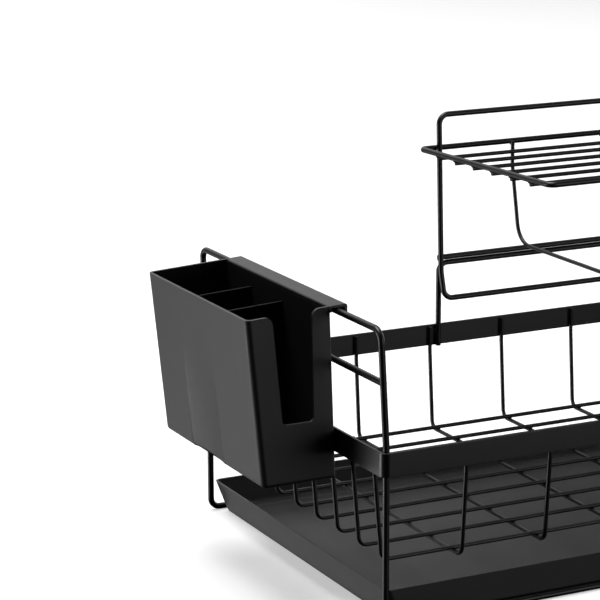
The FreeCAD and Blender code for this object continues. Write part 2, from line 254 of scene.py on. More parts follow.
@dataclass(frozen=True)
class PowderCoat:
    """Satin powder coat baked on steel: orange peel, fine grain, faint mottling."""

    name: str = "satin_black_powder_coat"
    dark: tuple[float, float, float] = (0.0018, 0.0018, 0.0020)
    light: tuple[float, float, float] = (0.0044, 0.0044, 0.0048)
    gloss_low: float = 0.30
    gloss_span: float = 0.16
    specular: float = 0.42
    peel_per_metre: float = 950.0
    grain_per_metre: float = 4200.0
    mottle_per_metre: float = 70.0
    peel_height: float = 0.05 * MM
    peel_strength: float = 0.55
    speck_stops: tuple[tuple[float, float], ...] = ((0.62, 0.0), (0.78, 1.0))
    mottle_in_tone: float = 0.75
    specks_in_tone: float = 0.35
    mottle_in_gloss: float = 0.7
    grain_in_relief: float = 0.2

    def material(self) -> bpy.types.Material:
        """Builds the material."""
        maker = NodeMaker(self.name)
        where = maker.coordinates()
        peel = maker.noise(where, self.peel_per_metre, 2.0)
        grain = maker.noise(where, self.grain_per_metre, 1.0)
        mottle = maker.noise(where, self.mottle_per_metre, 4.0, 0.6)
        specks = maker.ramp(grain, self.speck_stops)
        tone = self.mottle_in_tone * mottle + self.specks_in_tone * specks
        cloudy = self.mottle_in_gloss * mottle + (1.0 - self.mottle_in_gloss) * peel
        gloss = self.gloss_low + self.gloss_span * cloudy
        relief = (1.0 - self.grain_in_relief) * peel + self.grain_in_relief * grain
        return maker.surface(
            {
                "Base Color": maker.blend(tone, self.dark, self.light),
                "Roughness": gloss,
                "Specular IOR Level": self.specular,
                "Normal": maker.bump(relief, self.peel_height, self.peel_strength),
            }
        )


@dataclass(frozen=True)
class MouldedPlastic:
    """Matte moulded plastic: spark-eroded grain, soft clouding and faint flow streaks."""

    name: str
    dark: tuple[float, float, float]
    light: tuple[float, float, float]
    gloss_low: float = 0.41
    gloss_span: float = 0.10
    specular: float = 0.45
    grain_per_metre: float = 2600.0
    cloud_per_metre: float = 24.0
    streak: tuple[float, float, float] = (150.0, 150.0, 9.0)
    grain_height: float = 0.035 * MM
    grain_strength: float = 0.5
    pit_stops: tuple[tuple[float, float], ...] = ((0.35, 0.0), (0.62, 1.0))
    cloud_in_tone: float = 0.45
    flow_in_tone: float = 0.30
    pits_in_tone: float = 0.25
    flow_in_gloss: float = 0.5
    pit_gloss: float = 0.05

    def material(self) -> bpy.types.Material:
        """Builds the material."""
        maker = NodeMaker(self.name)
        where = maker.coordinates()
        grain = maker.noise(where, self.grain_per_metre, 2.0, 0.6)
        cloud = maker.noise(where, self.cloud_per_metre, 4.0, 0.55)
        flow = maker.noise(maker.coordinates(self.streak), 1.0, 3.0, 0.5)
        pits = maker.ramp(grain, self.pit_stops)
        tone = self.cloud_in_tone * cloud + self.flow_in_tone * flow + self.pits_in_tone * pits
        streaky = self.flow_in_gloss * flow + (1.0 - self.flow_in_gloss) * cloud
        gloss = self.gloss_low + self.gloss_span * streaky + self.pit_gloss * (1.0 - pits)
        return maker.surface(
            {
                "Base Color": maker.blend(tone, self.dark, self.light),
                "Roughness": gloss,
                "Specular IOR Level": self.specular,
                "Normal": maker.bump(pits, self.grain_height, self.grain_strength),
            }
        )


@dataclass(frozen=True)
class PaleFloor:
    """The plain white table top."""

    name: str = "pale_table"
    tone: tuple[float, float, float] = (0.55, 0.55, 0.55)
    lift: float = 0.02
    clouds_per_metre: float = 3.0
    gloss: float = 0.7
    specular: float = 0.1
    glow: float = 0.5

    def material(self) -> bpy.types.Material:
        """Builds the material."""
        maker = NodeMaker(self.name)
        cloud = maker.noise(maker.coordinates(), self.clouds_per_metre, 2.0)
        brighter = tuple(channel + self.lift for channel in self.tone)
        return maker.surface(
            {
                "Base Color": maker.blend(cloud, self.tone, brighter),
                "Roughness": self.gloss,
                "Specular IOR Level": self.specular,
                "Emission Color": (1.0, 1.0, 1.0, 1.0),
                "Emission Strength": self.glow,
            }
        )


# ---------------------------------------------------------------- modelling


def let_go() -> None:
    """Leaves edit mode and selects nothing."""
    if bpy.context.mode != "OBJECT":
        bpy.ops.object.mode_set(mode="OBJECT")
    bpy.ops.object.select_all(action="DESELECT")


class Workpiece:
    """One mesh object and the moves that shape it."""

    def __init__(self, obj: bpy.types.Object) -> None:
        """Takes an object in hand.

        Args:
            obj: The mesh object; its place goes into its mesh.
        """
        self.obj = obj
        self._hold()
        bpy.ops.object.transform_apply(location=True, rotation=True, scale=True)

    @classmethod
    def block(cls, name: str, low: Vector, high: Vector) -> "Workpiece":
        """A box between two corners.

        Args:
            name: The object's name.
            low: Lowest corner.
            high: Highest corner.

        Returns:
            The new workpiece.
        """
        let_go()
        bpy.ops.mesh.primitive_cube_add(size=1, location=(low + high) / 2, scale=high - low)
        obj = bpy.context.active_object
        obj.name = name
        obj.data.name = name
        return cls(obj)

    def _hold(self) -> None:
        """Makes this object the only one selected, and active."""
        let_go()
        self.obj.select_set(True)
        bpy.context.view_layer.objects.active = self.obj

    def _pick(self, kind: str, wanted: Callable[[Any], bool]) -> int:
        """Selects faces or edges in edit mode.

        Args:
            kind: "FACE" or "EDGE".
            wanted: Tells whether an element is picked.

        Returns:
            How many were picked.
        """
        self._hold()
        bpy.ops.object.mode_set(mode="EDIT")
        bpy.ops.mesh.select_mode(type=kind)
        bpy.ops.mesh.select_all(action="DESELECT")
        mesh = bmesh.from_edit_mesh(self.obj.data)
        mesh.normal_update()
        elements = mesh.faces if kind == "FACE" else mesh.edges
        picked = [element for element in elements if wanted(element)]
        for element in picked:
            element.select_set(True)
        mesh.select_flush_mode()
        bmesh.update_edit_mesh(self.obj.data)
        return len(picked)

    def faces(self, wanted: Callable[[Any], bool]) -> "Workpiece":
        """Selects faces.

        Args:
            wanted: Tells whether a face is picked.

        Returns:
            This workpiece.
        """
        if not self._pick("FACE", wanted):
            raise ValueError(f"no face to pick on {self.obj.name}")
        return self

    def edges(self, wanted: Callable[[Any], bool]) -> "Workpiece":
        """Selects edges.

        Args:
            wanted: Tells whether an edge is picked.

        Returns:
            This workpiece.
        """
        if not self._pick("EDGE", wanted):
            raise ValueError(f"no edge to pick on {self.obj.name}")
        return self

    def shift(self, run: Vector) -> "Workpiece":
        """Moves the selection.

        Args:
            run: The move.

        Returns:
            This workpiece.
        """
        bpy.ops.transform.translate(value=run)
        return self

    def resize(self, factors: tuple[float, float, float], centre: Vector) -> "Workpiece":
        """Scales the selection about a point.

        Args:
            factors: Scale along X, Y and Z.
            centre: The fixed point.

        Returns:
            This workpiece.
        """
        bpy.ops.transform.resize(value=factors, center_override=centre)
        return self

    def extrude(self, run: Vector) -> "Workpiece":
        """Extrudes the selected region.

        Args:
            run: The move of the new cap.

        Returns:
            This workpiece.
        """
        bpy.ops.mesh.extrude_region_move(TRANSFORM_OT_translate={"value": run})
        return self

    def inset(self, width: float) -> "Workpiece":
        """Insets the selected region.

        Args:
            width: Width of the new border.

        Returns:
            This workpiece.
        """
        bpy.ops.mesh.inset(thickness=width, depth=0.0, use_boundary=True)
        return self

    def bevel(self, width: float, segments: int) -> "Workpiece":
        """Rounds the selected edges.

        Args:
            width: Radius of the round.
            segments: Number of steps.

        Returns:
            This workpiece.
        """
        bpy.ops.mesh.bevel(offset=width, segments=segments, profile=0.5, affect="EDGES")
        return self

    def bisect(self, point: Vector, normal: Vector) -> "Workpiece":
        """Cuts the selected faces along a plane.

        Args:
            point: A point of the plane.
            normal: The plane's normal.

        Returns:
            This workpiece.
        """
        bpy.ops.mesh.bisect(plane_co=point, plane_no=normal)
        return self

    def delete_faces(self) -> "Workpiece":
        """Deletes the selected faces and keeps their edges."""
        bpy.ops.mesh.delete(type="FACE")
        return self

    def modify(self, kind: str, settings: dict[str, Any]) -> "Workpiece":
        """Adds a modifier and applies it.

        Args:
            kind: The modifier's type.
            settings: Its properties.

        Returns:
            This workpiece.
        """
        self._hold()
        modifier = self.obj.modifiers.new(kind.lower(), kind)
        for key, setting in settings.items():
            setattr(modifier, key, setting)
        bpy.ops.object.modifier_apply(modifier=modifier.name)
        return self

    def combine(self, other: "Workpiece", how: Combine) -> "Workpiece":
        """Adds or cuts another solid, which is used up.

        Args:
            other: The other solid.
            how: Add or cut.

        Returns:
            This workpiece.
        """
        other._hold()
        settings = {"operation": how.value, "solver": "EXACT", "object": other.obj}
        self.modify("BOOLEAN", settings)
        mesh = other.obj.data
        bpy.data.objects.remove(other.obj, do_unlink=True)
        bpy.data.meshes.remove(mesh)
        return self

    def clean(self) -> "Workpiece":
        """Merges doubles and turns every face outwards."""
        self._pick("FACE", lambda face: True)
        bpy.ops.mesh.remove_doubles(threshold=DOUBLES)
        bpy.ops.mesh.normals_make_consistent(inside=False)
        bpy.ops.object.mode_set(mode="OBJECT")
        return self

    def soften(self, width: float, segments: int, angle: float) -> "Workpiece":
        """Rounds every sharp edge a little and shades the piece smooth.

        Args:
            width: Radius of the round.
            segments: Number of steps.
            angle: Edges sharper than this are rounded, in degrees.

        Returns:
            This workpiece.
        """
        settings = {
            "width": width,
            "segments": segments,
            "limit_method": "ANGLE",
            "angle_limit": math.radians(angle),
            "use_clamp_overlap": True,
            "harden_normals": False,
        }
        self.modify("BEVEL", settings)
        return self.shade()

    def shade(self) -> "Workpiece":
        """Shades smooth, with flat areas kept flat."""
        self._hold()
        bpy.ops.object.shade_smooth_by_angle(angle=math.radians(SMOOTH_ANGLE))
        return self.modify("WEIGHTED_NORMAL", {"keep_sharp": True, "weight": 50})

    def line(self, material: bpy.types.Material, wanted: Callable[[Any], bool]) -> "Workpiece":
        """Gives some faces a second finish.

        Args:
            material: The finish.
            wanted: Tells whether a face takes it.

        Returns:
            This workpiece.
        """
        self.obj.data.materials.append(material)
        place = len(self.obj.data.materials) - 1
        for face in self.obj.data.polygons:
            if wanted(face):
                face.material_index = place
        return self

    def dress(self, material: bpy.types.Material, body: Body, slot: Slot) -> bpy.types.Object:
        """Gives the piece its finish and its body.

        Args:
            material: The finish.
            body: The body it rides on.
            slot: The record's slot; not used.

        Returns:
            The finished object.
        """
        self._hold()
        self.obj.data.materials.clear()
        self.obj.data.materials.append(material)
        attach(self.obj, body.value)
        LOG.info("%s: %d faces", self.obj.name, len(self.obj.data.polygons))
        return self.obj


def middle_of(low: Vector, high: Vector) -> Vector:
    """The point half way between two corners."""
    return (low + high) / 2


# ---------------------------------------------------------------- rim


@dataclass
class RimHoop:
    """The flat steel hoop round the basket."""

    coat: bpy.types.Material
    corner: float = 5.5 * MM
    corner_steps: int = 8
    thickness: float = 2.0 * MM
    edge_round: float = 0.45 * MM
    edge_steps: int = 3
    sharp_from: float = 50.0

    def build(self) -> bpy.types.Object:
        """Models the hoop from a box without lid and floor."""
        low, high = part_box("rim_band")
        piece = Workpiece.block("rim_hoop", low, high)
        piece.edges(lambda edge: abs(edge.verts[0].co.z - edge.verts[1].co.z) > self.thickness)
        piece.bevel(self.corner, self.corner_steps)
        piece.faces(lambda face: abs(face.normal.z) > 0.5).delete_faces()
        piece.modify("SOLIDIFY", {"thickness": self.thickness, "offset": -1.0})
        piece.clean().soften(self.edge_round, self.edge_steps, self.sharp_from)
        hoop = piece.dress(self.coat, Body.RACK, Slot.COATING)
        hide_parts("rim_band")
        return hoop


# ---------------------------------------------------------------- tray


@dataclass
class DripTray:
    """The moulded tray: drafted walls, rounded lip, floor with a shallow recess."""

    plastic: bpy.types.Material
    end_draft: float = 9.4 * MM
    side_draft: float = 0.8 * MM
    corner: float = 5.0 * MM
    wall: float = 1.6 * MM
    floor: float = 2.4 * MM
    base_round: float = 2.5 * MM
    margin: float = 11.4 * MM
    step: float = 1.0 * MM
    step_slope: float = 0.7 * MM
    lip_round: float = 0.55 * MM
    corner_steps: int = 6
    round_steps: int = 3
    sharp_from: float = 38.0

    def build(self) -> bpy.types.Object:
        """Models the tray from a block."""
        low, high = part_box("drip_tray")
        centre = middle_of(low, high)
        half = (high - low) / 2
        height = high.z - low.z
        base = low.z
        piece = Workpiece.block("tray_moulding", low, high)
        shrink = ((half.x - self.end_draft) / half.x, (half.y - self.side_draft) / half.y, 1.0)
        piece.faces(lambda face: face.normal.z < -0.5)
        piece.resize(shrink, Vector((centre.x, centre.y, base)))
        piece.edges(lambda edge: abs(edge.verts[0].co.z - edge.verts[1].co.z) > height / 2)
        piece.bevel(self.corner, self.corner_steps)
        piece.edges(lambda edge: max(vert.co.z for vert in edge.verts) < base + self.wall / 2)
        piece.bevel(self.base_round, self.round_steps)
        piece.faces(lambda face: face.normal.z > 0.5).inset(self.wall)
        drop = height - self.floor
        share = drop / height
        inner = half - Vector((self.wall, self.wall, 0))
        shrink = (
            (inner.x - share * self.end_draft) / inner.x,
            (inner.y - share * self.side_draft) / inner.y,
            1.0,
        )
        piece.extrude(Vector((0, 0, -drop)))
        piece.resize(shrink, Vector((centre.x, centre.y, base + self.floor)))
        piece.edges(lambda edge: self._on_floor(edge, base + self.floor))
        piece.bevel(self.base_round, self.round_steps)
        piece.faces(lambda face: self._is_floor(face, base + self.floor))
        piece.inset(self.margin).inset(self.step_slope)
        piece.shift(Vector((0, 0, -self.step)))
        piece.clean().soften(self.lip_round, self.round_steps, self.sharp_from)
        tray = piece.dress(self.plastic, Body.TRAY, Slot.TRAY)
        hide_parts("drip_tray")
        return tray

    def _on_floor(self, edge: Any, level: float) -> bool:
        """Tells whether an edge lies at the inner floor's level."""
        return all(abs(vert.co.z - level) < NEAR for vert in edge.verts)

    def _is_floor(self, face: Any, level: float) -> bool:
        """Tells whether a face is the inner floor."""
        return face.normal.z > 0.9 and abs(face.calc_center_median().z - level) < 0.2 * MM


# ---------------------------------------------------------------- holder


@dataclass
class CutleryHolder:
    """The moulded bin that hooks over the left side frame."""

    plastic: bpy.types.Material
    # Finish of the faces inside the bin: a real matte, less shiny plastic, with its much darker
    # tone as painted shade for the unlit interior.
    painted_shade_lining: bpy.types.Material
    outer_low: float = 55.1 * MM
    outer_high: float = 66.7 * MM
    inner_low: float = 0.3 * MM
    inner_high: float = 4.6 * MM
    top: float = 202.6 * MM
    slope: float = 0.055
    over: float = 6.0 * MM
    end_draft: float = 0.8 * MM
    wall: float = 2.0 * MM
    floor: float = 2.5 * MM
    corner: float = 4.0 * MM
    base_round: float = 3.0 * MM
    divider_places: tuple[float, float] = (-9.6 * MM, 39.4 * MM)
    divider_width: float = 1.8 * MM
    divider_drop: float = 11.6 * MM
    notch_floor: float = 129.0 * MM
    notch_top: tuple[float, float] = (-48.0 * MM, -19.0 * MM)
    notch_base: tuple[float, float] = (-40.5 * MM, -17.5 * MM)
    notch_round: float = 3.0 * MM
    notch_shoulder: float = 5.5 * MM
    hook_reach: float = 6.9 * MM
    hook_plate: float = 1.8 * MM
    hook_under: float = 204.6 * MM
    hook_lip: float = 200.5 * MM
    hook_round: float = 3.5 * MM
    hook_inner_round: float = 1.7 * MM
    rebate: float = 203.2 * MM
    scoop: tuple[float, float] = (-18.5 * MM, 31.5 * MM)
    scoop_top: float = 178.0 * MM
    scoop_depth: float = 2.2 * MM
    scoop_skew: float = 0.4
    scoop_ridge: float = 0.22 * MM
    scoop_fence: float = 0.7 * MM
    scoop_columns: int = 12
    scoop_rows: int = 10
    edge_round: float = 0.35 * MM
    edge_steps: int = 3
    round_steps: int = 4
    corner_steps: int = 6
    sharp_from: float = 38.0
    low: Vector = field(default_factory=lambda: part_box("cutlery_holder")[0])
    high: Vector = field(default_factory=lambda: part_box("cutlery_holder")[1])
    rim_x: float = field(default_factory=lambda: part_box("rim_band")[0].x)

    @property
    def mid_y(self) -> float:
        """The middle of the holder from front to rear."""
        return (self.low.y + self.high.y) / 2

    @property
    def half_y(self) -> float:
        """Half the holder's length."""
        return (self.high.y - self.low.y) / 2

    def walls_at(self, height: float) -> tuple[float, float]:
        """The outer faces of the two long walls at a height.

        Args:
            height: The height.

        Returns:
            X of the outer wall and of the wall beside the rack.
        """
        share = (height - self.low.z) / (self.top - self.low.z)
        outer = self.rim_x - self.outer_low - share * (self.outer_high - self.outer_low)
        inner = self.rim_x - self.inner_low - share * (self.inner_high - self.inner_low)
        return outer, inner

    def rim_at(self, x: float) -> float:
        """Height of the sloping mouth, which rises towards the hook.

        Args:
            x: Place across the bin.

        Returns:
            The height.
        """
        return self.top + self.slope * (x - self.rim_x + self.outer_high)

    def build(self) -> bpy.types.Object:
        """Models the bin, then adds dividers and hook and cuts the notch."""
        piece = self._bin()
        piece.combine(self._above(0.0), Combine.CUT)
        piece.combine(self._rebate(), Combine.CUT)
        for place in self.divider_places:
            piece.combine(self._divider(self.mid_y + place), Combine.ADD)
        piece.combine(self._hook(), Combine.ADD)
        piece.combine(self._notch(), Combine.CUT)
        piece.clean()
        piece.edges(self._is_shoulder).bevel(self.notch_shoulder, self.corner_steps)
        piece.clean().soften(self.edge_round, self.edge_steps, self.sharp_from)
        holder = piece.dress(self.plastic, Body.HOLDER, Slot.HOLDER)
        # The faces inside the bin take the matte finish whose darker tone is painted shade standing
        # in for the shadowed interior.
        piece.line(self.painted_shade_lining, self._is_inside)
        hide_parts("cutlery_holder")
        return holder

    def _above(self, drop: float) -> Workpiece:
        """Everything above the sloping mouth.

        Args:
            drop: How much lower the plane lies.

        Returns:
            The new workpiece.
        """
        clear = 4 * self.wall
        left, right = self.low.x - clear, self.high.x + clear
        front, rear = self.low.y - clear, self.high.y + clear
        floor, sky = self.rim_at(left) - drop, self.top + 8 * self.over
        low, high = Vector((left, front, floor)), Vector((right, rear, sky))
        piece = Workpiece.block("above", low, high)
        piece.edges(lambda edge: self._runs_at(edge, right, floor))
        return piece.shift(Vector((0, 0, self.slope * (right - left))))

    def _rebate(self) -> Workpiece:
        """Room for the rounded foot of the hook in the wall beside the rack."""
        _, wall_x = self.walls_at(self.top)
        half = self.half_y - self.wall
        return Workpiece.block(
            "rebate",
            Vector((wall_x - 1.5 * self.wall, self.mid_y - half, self.rebate)),
            Vector((wall_x + self.wall, self.mid_y + half, self.top + 2 * self.over)),
        )

    def _bin(self) -> Workpiece:
        """The open bin with drafted walls and the scooped outer wall, higher than its mouth."""
        base, over = self.low.z, self.top + self.over
        outer, inner = self.walls_at(base)
        half = self.half_y - self.end_draft
        piece = Workpiece.block(
            "cutlery_bin",
            Vector((outer, self.mid_y - half, base)),
            Vector((inner, self.mid_y + half, over)),
        )
        top_outer, top_inner = self.walls_at(over)
        middle = Vector(((outer + inner) / 2, self.mid_y, over))
        piece.faces(lambda face: face.normal.z > 0.5)
        spread = ((top_inner - top_outer) / (inner - outer), self._half_at(over) / half, 1.0)
        piece.resize(spread, middle)
        piece.shift(Vector(((top_outer + top_inner - outer - inner) / 2, 0, 0)))
        tall = (self.top - base) / 2
        piece.edges(lambda edge: abs(edge.verts[0].co.z - edge.verts[1].co.z) > tall)
        piece.bevel(self.corner, self.corner_steps)
        piece.edges(lambda edge: max(vert.co.z for vert in edge.verts) < base + self.wall / 4)
        piece.bevel(self.base_round, self.round_steps)
        self._hollow(piece)
        self._scoop(piece)
        return piece

    def _half_at(self, height: float) -> float:
        """Half the bin's length at a height."""
        share = (height - self.low.z) / (self.top - self.low.z)
        return self.half_y - self.end_draft * (1.0 - share)

    def _hollow(self, piece: Workpiece) -> None:
        """Insets the mouth and sinks it to the floor, parallel to the outer walls."""
        over, level = self.top + self.over, self.low.z + self.floor
        outer, inner = self.walls_at(over)
        floor_outer, floor_inner = self.walls_at(level)
        piece.faces(lambda face: face.normal.z > 0.5).inset(self.wall)
        piece.extrude(Vector((0, 0, level - over)))
        shrink = (
            (floor_inner - floor_outer - 2 * self.wall) / (inner - outer - 2 * self.wall),
            (self._half_at(level) - self.wall) / (self._half_at(over) - self.wall),
            1.0,
        )
        piece.resize(shrink, Vector(((outer + inner) / 2, self.mid_y, level)))
        piece.shift(Vector(((floor_outer + floor_inner - outer - inner) / 2, 0, 0)))

    def press(self, y: float, z: float) -> float:
        """How far the scoop sinks into the outer long wall.

        Args:
            y: Place along the wall.
            z: Height.

        Returns:
            The depth, 0 outside the scoop.
        """
        start, end = (self.mid_y + place for place in self.scoop)
        across = (y - start) / (end - start)
        along = (self.scoop_top - z) / (self.scoop_top - self.low.z)
        if not (-0.001 < across < 1.001 and along > 0.0):
            return 0.0
        sink = along * along * (3.0 - 2.0 * along)
        if min(y - start, end - y) < 0.5 * self.scoop_fence:
            return -self.scoop_ridge * sink
        bow = 4.0 * across * (1.0 - across) * (1.0 + self.scoop_skew * (2.0 * across - 1.0))
        return self.scoop_depth * sink * bow

    def _scoop(self, piece: Workpiece) -> None:
        """Divides the outer long wall and presses a shallow scoop into both its sides."""
        start, end = (self.mid_y + place for place in self.scoop)
        fence = self.scoop_fence
        steps = range(self.scoop_columns + 1)
        places = [start + (end - start) * step / self.scoop_columns for step in steps]
        places += [start - fence, start + fence, end - fence, end + fence]
        for y in sorted(places):
            piece.faces(self._is_outer_wall).bisect(Vector((0, y, 0)), Vector((0, 1, 0)))
        base = self.low.z + self.base_round
        for row in range(self.scoop_rows):
            z = base + (self.scoop_top - base) * row / self.scoop_rows
            piece.faces(self._is_outer_wall).bisect(Vector((0, 0, z)), Vector((0, 0, 1)))
        mesh = bmesh.from_edit_mesh(piece.obj.data)
        for vert in mesh.verts:
            outer, _ = self.walls_at(vert.co.z)
            if vert.co.x < outer + 1.5 * self.wall:
                vert.co.x += self.press(vert.co.y, vert.co.z)
        bmesh.update_edit_mesh(piece.obj.data)

    def _is_outer_wall(self, face: Any) -> bool:
        """Tells whether a face belongs to either side of the outer long wall or its foot."""
        centre = face.calc_center_median()
        outer, _ = self.walls_at(centre.z)
        facing = abs(face.normal.x) > 0.2 and abs(face.normal.y) < 0.2
        return facing and centre.x < outer + 1.5 * self.wall

    def _divider(self, y: float) -> Workpiece:
        """A thin wall across the bin.

        Args:
            y: Its middle.

        Returns:
            The new workpiece.
        """
        base, top = self.low.z + self.floor / 2, self.top
        bite = self.wall / 2
        outer, inner = self.walls_at(base)
        top_outer, top_inner = self.walls_at(top)
        left, right = outer + bite + self.press(y, base), inner - bite
        top_left, top_right = top_outer + bite, top_inner - bite
        half = self.divider_width / 2
        low, high = Vector((left, y - half, base)), Vector((right, y + half, top))
        piece = Workpiece.block("divider", low, high)
        piece.faces(lambda face: face.normal.z > 0.5)
        spread = (top_right - top_left) / (right - left)
        piece.resize((spread, 1.0, 1.0), Vector(((left + right) / 2, y, top)))
        piece.shift(Vector(((top_left + top_right - left - right) / 2, 0, 0)))
        return piece.combine(self._above(self.divider_drop), Combine.CUT)

    def _hook(self) -> Workpiece:
        """The rail that hooks over the side frame's top bar."""
        _, wall_x = self.walls_at(self.top)
        reach = self.rim_x + self.hook_reach
        left, under = wall_x - self.wall, self.hook_under
        front, rear = self.mid_y - self.half_y, self.mid_y + self.half_y
        low, high = Vector((left, front, under)), Vector((reach, rear, self.rim_at(left)))
        piece = Workpiece.block("hook", low, high)
        piece.edges(lambda edge: self._runs_at(edge, reach, high.z))
        piece.shift(Vector((0, 0, self.slope * (reach - left))))
        lip_x = reach - self.hook_plate
        for x in (wall_x, lip_x):
            piece.faces(lambda face: True).bisect(Vector((x, 0, 0)), Vector((1, 0, 0)))
        piece.faces(lambda face: face.normal.z < -0.5 and face.calc_center_median().x < wall_x)
        piece.extrude(Vector((0, 0, self.top - MM - under)))
        piece.faces(lambda face: face.normal.z < -0.5 and face.calc_center_median().x > lip_x)
        piece.extrude(Vector((0, 0, self.hook_lip - under)))
        piece.edges(lambda edge: self._runs_at(edge, reach, self.rim_at(reach)))
        piece.bevel(self.hook_round, self.corner_steps)
        piece.edges(lambda edge: self._runs_at(edge, left, self.rim_at(left)))
        return piece.bevel(self.hook_inner_round, self.round_steps)

    def _runs_at(self, edge: Any, x: float, z: float) -> bool:
        """Tells whether both ends of an edge lie at a place across the bin and a height."""
        return all(abs(vert.co.x - x) < NEAR and abs(vert.co.z - z) < NEAR for vert in edge.verts)

    def _notch(self) -> Workpiece:
        """The solid that cuts the opening in the front wall."""
        front = self.mid_y - self.half_y
        depth = self.wall + self.end_draft + self.corner
        grow = (self.top + self.over - self.notch_floor) / (self.top - self.notch_floor)
        base_left, base_right = (self.rim_x + x for x in self.notch_base)
        left = base_left + grow * (self.notch_top[0] - self.notch_base[0])
        right = base_right + grow * (self.notch_top[1] - self.notch_base[1])
        piece = Workpiece.block(
            "notch",
            Vector((left, front - MM, self.notch_floor)),
            Vector((right, front + depth, self.top + self.over)),
        )
        middle = Vector(((left + right) / 2, front, self.notch_floor))
        piece.faces(lambda face: face.normal.z < -0.5)
        piece.resize(((base_right - base_left) / (right - left), 1.0, 1.0), middle)
        piece.shift(Vector(((base_left + base_right - left - right) / 2, 0, 0)))
        return piece.edges(self._is_notch_foot).bevel(self.notch_round, self.round_steps)

    def _is_notch_foot(self, edge: Any) -> bool:
        """Tells whether an edge is one of the cutter's two lower long edges."""
        low = all(vert.co.z < self.notch_floor + NEAR for vert in edge.verts)
        along = edge.verts[0].co - edge.verts[1].co
        return low and abs(along.y) > abs(along.x)

    def _is_shoulder(self, edge: Any) -> bool:
        """Tells whether an edge is a corner where the notch meets the wall's top."""
        first, second = (vert.co for vert in edge.verts)
        run = first - second
        front = max(first.y, second.y) < self.mid_y - self.half_y + 1.5 * self.wall
        across = abs(run.y) > self.wall / 2 and abs(run.x) < 0.2 * MM
        level = all(abs(vert.co.z - self.rim_at(vert.co.x)) < NEAR for vert in edge.verts)
        sides = [self.rim_x + x for x in self.notch_top]
        return level and front and across and any(abs(first.x - x) < 0.6 * MM for x in sides)

    def _is_inside(self, face: Any) -> bool:
        """Tells whether a face lies inside the bin, below its mouth."""
        centre = face.center
        outer, inner = self.walls_at(centre.z)
        skin = 0.7 * self.wall
        press = max(0.0, self.press(centre.y, centre.z))
        across = outer + press + skin < centre.x < inner - skin
        along = abs(centre.y - self.mid_y) < self._half_at(centre.z) - skin
        high = self.rim_at(centre.x) - 0.6 * self.wall
        return across and along and self.low.z + skin < centre.z < high


# ---------------------------------------------------------------- welds


@dataclass
class WeldBeads:
    """Small smooth weld beads where two wires, or a wire and the rim, are joined."""

    name: str
    body: Body
    coat: bpy.types.Material
    segments: int = 10
    rings: int = 6
    pole_height: float = 0.92
    spots: list[tuple[Vector, Vector]] = field(default_factory=list)

    def add(self, centre: tuple[float, float, float], size: tuple[float, float, float]) -> None:
        """Notes one bead.

        Args:
            centre: Its middle, in metres.
            size: Its half sizes along X, Y and Z, in millimetres.
        """
        self.spots.append((Vector(centre), Vector(size) * MM))

    def build(self) -> bpy.types.Object:
        """Models one bead, copies it to every spot and joins the copies."""
        let_go()
        bpy.ops.mesh.primitive_uv_sphere_add(
            segments=self.segments, ring_count=self.rings, radius=1.0, location=(0, 0, 0)
        )
        master = Workpiece(bpy.context.active_object)
        master.faces(lambda face: abs(face.normal.z) > 0.8)
        master.resize((1.0, 1.0, self.pole_height), Vector((0, 0, 0)))
        let_go()
        copies = []
        for centre, size in self.spots:
            mesh = master.obj.data.copy()
            mesh.transform(Matrix.Translation(centre) @ Matrix.Diagonal((*size, 1.0)))
            copy = bpy.data.objects.new(self.name, mesh)
            bpy.context.scene.collection.objects.link(copy)
            copies.append(copy)
        bpy.data.objects.remove(master.obj, do_unlink=True)
        let_go()
        for copy in copies:
            copy.select_set(True)
        bpy.context.view_layer.objects.active = copies[0]
        bpy.ops.object.join()
        piece = Workpiece(bpy.context.active_object)
        piece.obj.name = self.name
        bpy.ops.object.shade_smooth()
        return piece.dress(self.coat, self.body, Slot.COATING)


